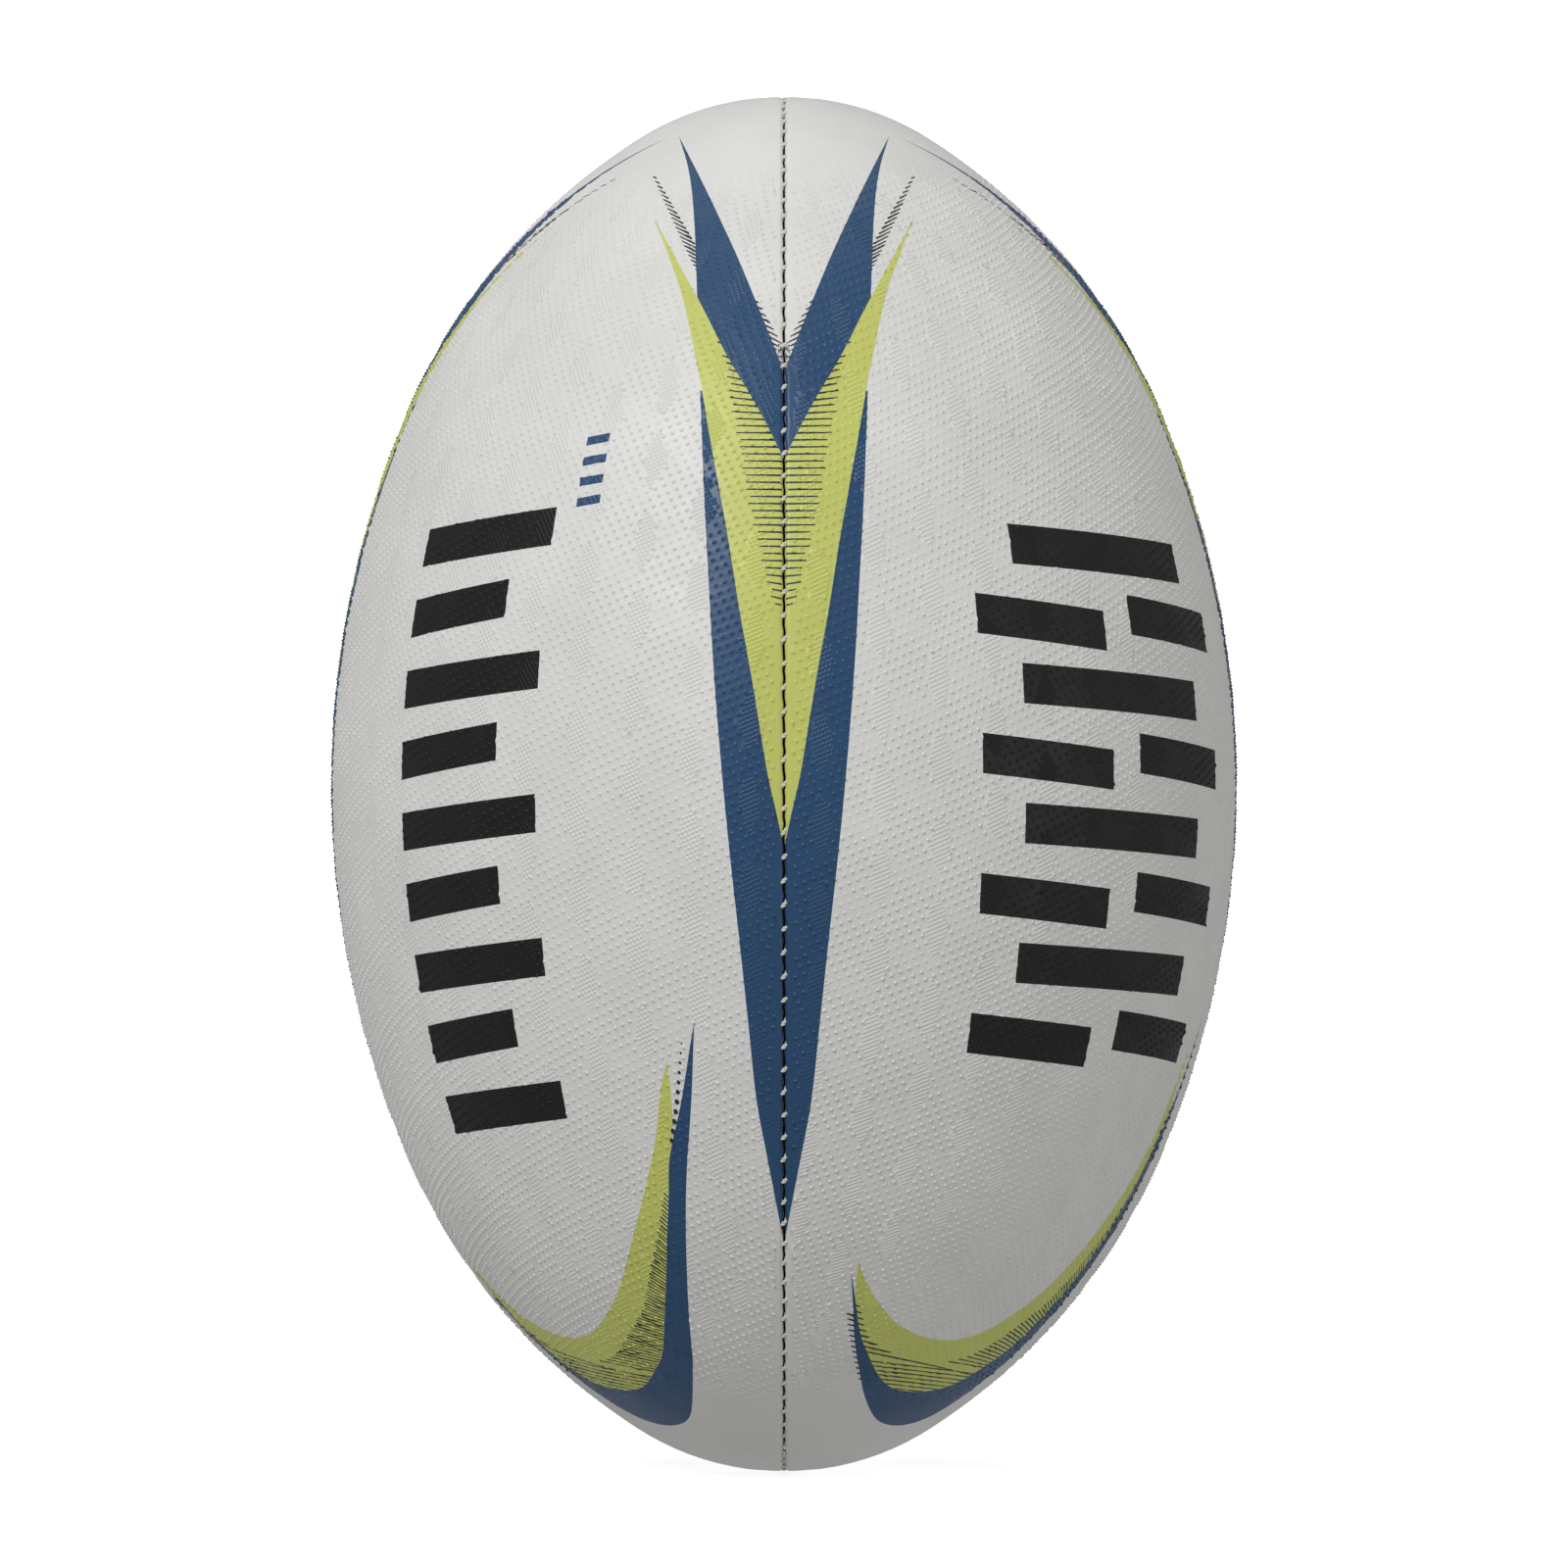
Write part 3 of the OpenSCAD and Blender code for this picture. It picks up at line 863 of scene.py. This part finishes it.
def span(tree, value, low, high):
    """A noise value spread over low to high."""
    n = tree.nodes.new("ShaderNodeMapRange")
    n.inputs["To Min"].default_value, n.inputs["To Max"].default_value = low, high
    n.inputs["From Min"].default_value, n.inputs["From Max"].default_value = 0.3, 0.7
    tree.links.new(value, n.inputs["Value"])
    return n.outputs["Result"]


def mixed(tree, share, a, b):
    """Colour a turning to colour b by a share."""
    n = tree.nodes.new("ShaderNodeMix")
    n.data_type = "RGBA"
    tree.links.new(share, n.inputs["Factor"])
    tree.links.new(a, n.inputs["A"])
    tree.links.new(b, n.inputs["B"])
    return n.outputs["Result"]


def scaled(colour, k):
    """A lighter or darker colour."""
    return tuple(min(c * k, 1.0) for c in colour)


def bumped(tree, shader, height, strength, distance):
    """A fine relief on a shader."""
    bumps = tree.nodes.new("ShaderNodeBump")
    bumps.inputs["Strength"].default_value = strength
    bumps.inputs["Distance"].default_value = distance
    tree.links.new(height, bumps.inputs["Height"])
    tree.links.new(bumps.outputs["Normal"], shader.inputs["Normal"])


def surface(name, colour, worn, roughness, grain=2600.0, relief=0.00004, specular=0.5):
    """A moulded or printed surface: cloudy colour, worn specks, uneven gloss, fine grain."""
    made, tree, shader, where = node_material(name)
    base = ramp(tree, noise(tree, where, 45.0), [(0.30, scaled(colour, 0.955)),
                                                 (0.70, scaled(colour, 1.03))])
    wear = ramp(tree, noise(tree, where, 420.0, 5.0, 0.65), [(0.60, (0, 0, 0)),
                                                             (0.78, (0.35, 0.35, 0.35))])
    worn_colour = ramp(tree, noise(tree, where, 90.0), [(0.3, worn), (0.7, scaled(worn, 1.1))])
    tree.links.new(mixed(tree, wear, base, worn_colour), shader.inputs["Base Color"])
    tree.links.new(span(tree, noise(tree, where, 160.0), roughness[0], roughness[1]),
                   shader.inputs["Roughness"])
    shader.inputs["Specular IOR Level"].default_value = specular
    bumped(tree, shader, noise(tree, where, grain, 4.0), 0.6, relief)
    return made


def woven(name, colour, pitch):
    """Plain-woven cloth: two crossed sets of yarns, a pitch apart in metres."""
    made, tree, shader, where = node_material(name)
    waves = []
    for axis in ("Z", "DIAGONAL"):
        n = tree.nodes.new("ShaderNodeTexWave")
        n.wave_type = "BANDS"
        n.bands_direction = axis
        n.inputs["Scale"].default_value = 0.5 / pitch
        n.inputs["Distortion"].default_value = 0.6
        n.inputs["Detail Scale"].default_value = 3.0
        tree.links.new(where, n.inputs["Vector"])
        waves.append(n.outputs["Fac"])
    high = tree.nodes.new("ShaderNodeMath")
    high.operation = "MAXIMUM"
    tree.links.new(waves[0], high.inputs[0])
    tree.links.new(waves[1], high.inputs[1])
    yarn = ramp(tree, high.outputs[0], [(0.2, scaled(colour, 0.72)), (0.85, colour)])
    stain = ramp(tree, noise(tree, where, 30.0), [(0.35, scaled(colour, 0.9)),
                                                  (0.65, scaled(colour, 1.04))])
    half = tree.nodes.new("ShaderNodeMath")
    half.operation = "MULTIPLY"
    half.inputs[1].default_value = 0.5
    tree.links.new(noise(tree, where, 55.0), half.inputs[0])
    tree.links.new(mixed(tree, half.outputs[0], yarn, stain), shader.inputs["Base Color"])
    tree.links.new(span(tree, noise(tree, where, 200.0), 0.82, 0.95), shader.inputs["Roughness"])
    bumped(tree, shader, high.outputs[0], 0.7, 0.00012)
    return made


# a surface's colour, the colour of its worn specks and the range of its roughness
PRINT = [   # in the order of WHITE to BLACK
    surface("cover_white_rubber", (0.76, 0.755, 0.735), (0.60, 0.585, 0.55), (0.40, 0.55)),
    surface("print_navy", (0.013, 0.066, 0.165), (0.04, 0.09, 0.18), (0.34, 0.46)),
    surface("print_lime", (0.59, 0.63, 0.155), (0.50, 0.53, 0.16), (0.34, 0.46)),
    surface("print_ink", (0.012, 0.017, 0.026), (0.05, 0.05, 0.06), (0.36, 0.48)),
    surface("print_black", (0.0075, 0.0075, 0.0082), (0.02, 0.02, 0.021), (0.42, 0.55),
            specular=0.3),
]
CLOTH = woven("lining_cloth", (0.62, 0.56, 0.43), 0.0007)
PATCH = woven("patch_cloth", (0.52, 0.46, 0.35), 0.0005)
THREAD = surface("waxed_thread", (0.70, 0.67, 0.58), (0.42, 0.38, 0.30), (0.38, 0.55),
                 5200.0, 0.00006)
BLADDER = surface("bladder_rubber", (0.020, 0.020, 0.022), (0.06, 0.058, 0.052), (0.42, 0.62),
                  900.0, 0.00008)
SEAT = surface("valve_seat_rubber", (0.018, 0.018, 0.019), (0.05, 0.05, 0.05), (0.38, 0.55),
               2200.0, 0.00005)
PLUG = surface("valve_plug_rubber", (0.52, 0.50, 0.45), (0.30, 0.28, 0.25), (0.40, 0.55),
               2200.0, 0.00005)

# --------------------------------------------------------------- the panels
CORNERS = {  # azimuth of each panel's left seam, and what is printed on it
    "front_left": (180, "column"),
    "front_right": (270, "block"),
    "back_right": (0, "column"),
    "back_left": (90, "block"),
}
shared = {}
for corner, (azimuth, mark) in CORNERS.items():
    with_hole = corner == "back_left"
    key = (mark, with_hole)
    if key not in shared:
        data = panel_mesh(corner, mark, with_hole)
        shared[key] = (data, joined(data))
    data, (points, triangles, normals, skin_count) = shared[key]
    at = turned(points, azimuth) * MM + np.array(CENTRE)
    faces = np.vstack(triangles)
    panel = mesh_object(corner + "_panel", at, faces)
    for made in PRINT:
        panel.data.materials.append(made)
    index = np.full(len(faces), WHITE, np.int32)
    index[:len(data["colour"])] = data["colour"]
    panel.data.polygons.foreach_set("material_index", index)
    vertex_normals = np.array([v.vector for v in panel.data.vertex_normals], np.float32)
    vertex_normals[:skin_count] = turned(normals, azimuth)
    panel.data.normals_split_custom_set_from_vertices(vertex_normals)
    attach(panel, "root")
    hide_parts(corner + "_cover")

# -------------------------------------------------------------- the stitches
STITCH_TOP = 0.97      # depth of a stitch's middle line where it crosses the seam
STITCH_REACH = 1.25    # from the seam's plane to where a stitch goes into the panel
STITCH_SINK = 1.6      # how much deeper its ends are
STITCH_LEAN = 44.0     # degrees along the seam
STRAND_RADIUS = 0.27
STRAND_OFF = 0.2       # from the stitch's middle line to a strand's
STRAND_TWIST = 4.2     # radians, from a stitch's middle to its end
STITCH_RINGS, STRAND_SIDES = 15, 7


def strand_faces():
    """Triangles of one strand, whose two end points come after its rings."""
    j, k = np.meshgrid(np.arange(STITCH_RINGS - 1), np.arange(STRAND_SIDES), indexing="ij")
    a0, a1 = j * STRAND_SIDES + k, j * STRAND_SIDES + (k + 1) % STRAND_SIDES
    b0, b1 = a0 + STRAND_SIDES, a1 + STRAND_SIDES
    body = np.stack([a0, b0, a1, a1, b0, b1], -1).reshape(-1, 3)
    k, k2 = around(STRAND_SIDES).T
    last = (STITCH_RINGS - 1) * STRAND_SIDES
    end = np.full_like(k, STITCH_RINGS * STRAND_SIDES)
    return np.vstack([body, np.stack([k, k2, end], 1),
                      np.stack([last + k2, last + k, end + 1], 1)])


def stitch_path(i, t):
    """The middle line of a stitch, and the directions beside it and outwards."""
    r, z, angle = (float(x[0]) for x in outline(np.array([i * STITCH_PITCH])))
    outwards = np.array([math.cos(angle), 0, math.sin(angle)])
    upwards = np.array([-math.sin(angle), 0, math.cos(angle)])
    sideways = np.array([0, 1.0, 0])
    lean = math.radians(STITCH_LEAN + 5 * math.sin(i * 2.3))
    across = sideways * math.cos(lean) + upwards * math.sin(lean)
    beside = upwards * math.cos(lean) - sideways * math.sin(lean)
    middle = np.array([r, 0, z]) + sideways * float(waver(i * STITCH_PITCH))
    depth = STITCH_TOP + 0.08 * math.sin(i * 1.7) + STITCH_SINK * np.abs(t) ** 2.6
    path = middle + across * (t * STITCH_REACH)[:, None] - outwards * depth[:, None]
    return path, beside, outwards


def stitch_tubes():
    """Two twisted strands for every stitch of one seam, whose plane is y = 0, x > 0."""
    points, faces = [], []
    t = np.linspace(-1, 1, STITCH_RINGS)
    turn = (np.arange(STRAND_SIDES) * 2 * math.pi / STRAND_SIDES)[None, :, None]
    for i in range(-STITCHES_EACH_WAY, STITCHES_EACH_WAY + 1):
        path, beside, outwards = stitch_path(i, t)
        for phase in (0.0, math.pi):
            twist = phase + t * STRAND_TWIST
            strand = (path + beside * (STRAND_OFF * np.cos(twist))[:, None]
                      + outwards * (STRAND_OFF * np.sin(twist))[:, None])
            ahead = np.gradient(strand, axis=0)
            ahead /= np.linalg.norm(ahead, axis=1)[:, None]
            one = np.cross(ahead, beside)
            one /= np.linalg.norm(one, axis=1)[:, None]
            two = np.cross(one, ahead)
            rings = strand[:, None, :] + STRAND_RADIUS * (
                np.cos(turn) * one[:, None, :] + np.sin(turn) * two[:, None, :])
            faces.append(strand_faces() + len(faces) * (STITCH_RINGS * STRAND_SIDES + 2))
            points += [rings.reshape(-1, 3), strand[[0, -1]]]
    return np.vstack(points), np.vstack(faces)


stitch_points, stitch_faces = stitch_tubes()
for name, azimuth in (("front", 270), ("right", 0), ("back", 90), ("left", 180)):
    stitching = mesh_object(name + "_stitching", turned(stitch_points, azimuth) * MM
                            + np.array(CENTRE), stitch_faces)
    stitching.data.materials.append(THREAD)
    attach(stitching, "root")
    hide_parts(name + "_seam_thread")

# ------------------------------------------------------ what stays from CAD
for node, made in [(n, CLOTH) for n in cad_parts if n.endswith("_ply")] + [
        ("bladder", BLADDER), ("valve_seat", SEAT), ("valve_plug", PLUG), ("valve_patch", PATCH)]:
    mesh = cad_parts[node].data
    mesh.materials.clear()
    mesh.materials.append(made)

# -------------------------------------------------------------------- stage
FLOOR_Z = min(cad_low.z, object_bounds()[0].z)
STAGE_HALF, STAGE_FRONT, STAGE_BACK, STAGE_BEND, STAGE_TOP = 6.0, -5.0, 1.6, 0.8, 4.0


def backdrop():
    """A floor that curves up into a wall behind the ball."""
    turn = np.linspace(0, math.pi / 2, 24)
    profile = [(STAGE_FRONT, 0.0)] + [(STAGE_BACK + STAGE_BEND * math.sin(a),
                                STAGE_BEND * (1 - math.cos(a))) for a in turn]
    profile.append((STAGE_BACK + STAGE_BEND, STAGE_TOP))
    points = [(x, y, FLOOR_Z + z) for y, z in profile for x in (-STAGE_HALF, STAGE_HALF)]
    faces = [(2 * i, 2 * i + 1, 2 * i + 3, 2 * i + 2) for i in range(len(profile) - 1)]
    return mesh_object("backdrop", points, faces)


paper, tree, shader, where = node_material("paper")
tree.links.new(ramp(tree, noise(tree, where, 3.0), [(0.3, (0.93, 0.93, 0.93)),
                                                     (0.7, (0.95, 0.95, 0.95))]),
               shader.inputs["Base Color"])
shader.inputs["Roughness"].default_value = 0.9
shader.inputs["Specular IOR Level"].default_value = 0.1
shader.inputs["Emission Color"].default_value = (1, 1, 1, 1)
shader.inputs["Emission Strength"].default_value = 0.7
floor = backdrop()
floor.data.materials.append(paper)
floor.visible_diffuse = False    # the paper is white without lighting the ball from below
floor.visible_glossy = False


def area_light(name, at, size, energy, colour=(1, 1, 1)):
    """A lamp that faces the ball's centre."""
    data = bpy.data.lights.new(name, "AREA")
    data.shape, data.size, data.size_y = "RECTANGLE", size[0], size[1]
    data.energy, data.color = energy, colour
    made = bpy.data.objects.new(name, data)
    made.location = at
    made.rotation_euler = (CENTRE - Vector(at)).to_track_quat("-Z", "Y").to_euler()
    bpy.context.scene.collection.objects.link(made)
    return made


area_light("key", (-1.1, -1.9, 1.5), (1.0, 1.0), 35.0)
area_light("fill", (2.2, -1.1, 0.1), (1.4, 1.8), 10.0, (1.0, 1.0, 0.95))
area_light("top", (0.0, 0.3, 2.4), (2.0, 2.0), 8.0)

world = bpy.data.worlds.new("studio")
bpy.context.scene.world = world
world.use_nodes = True
world.node_tree.nodes["Background"].inputs["Color"].default_value = (1.0, 1.0, 1.0, 1)
world.node_tree.nodes["Background"].inputs["Strength"].default_value = 0.37
bpy.context.scene.view_settings.view_transform = "Standard"

# ------------------------------------------------------------------- camera
CAMERA_DISTANCE = 2.2
FRAME_WIDTH = 0.3296     # across the picture at the ball's centre
SENSOR = 36.0
lens = bpy.data.cameras.new("camera")
lens.sensor_width = SENSOR
lens.lens = SENSOR * CAMERA_DISTANCE / FRAME_WIDTH
lens.clip_start, lens.clip_end = 0.05, 50.0
camera = bpy.data.objects.new("camera", lens)
camera.location = CENTRE + Vector((0, -CAMERA_DISTANCE, 0))
camera.rotation_euler = (math.pi / 2, 0, 0)
bpy.context.scene.collection.objects.link(camera)
bpy.context.scene.camera = camera
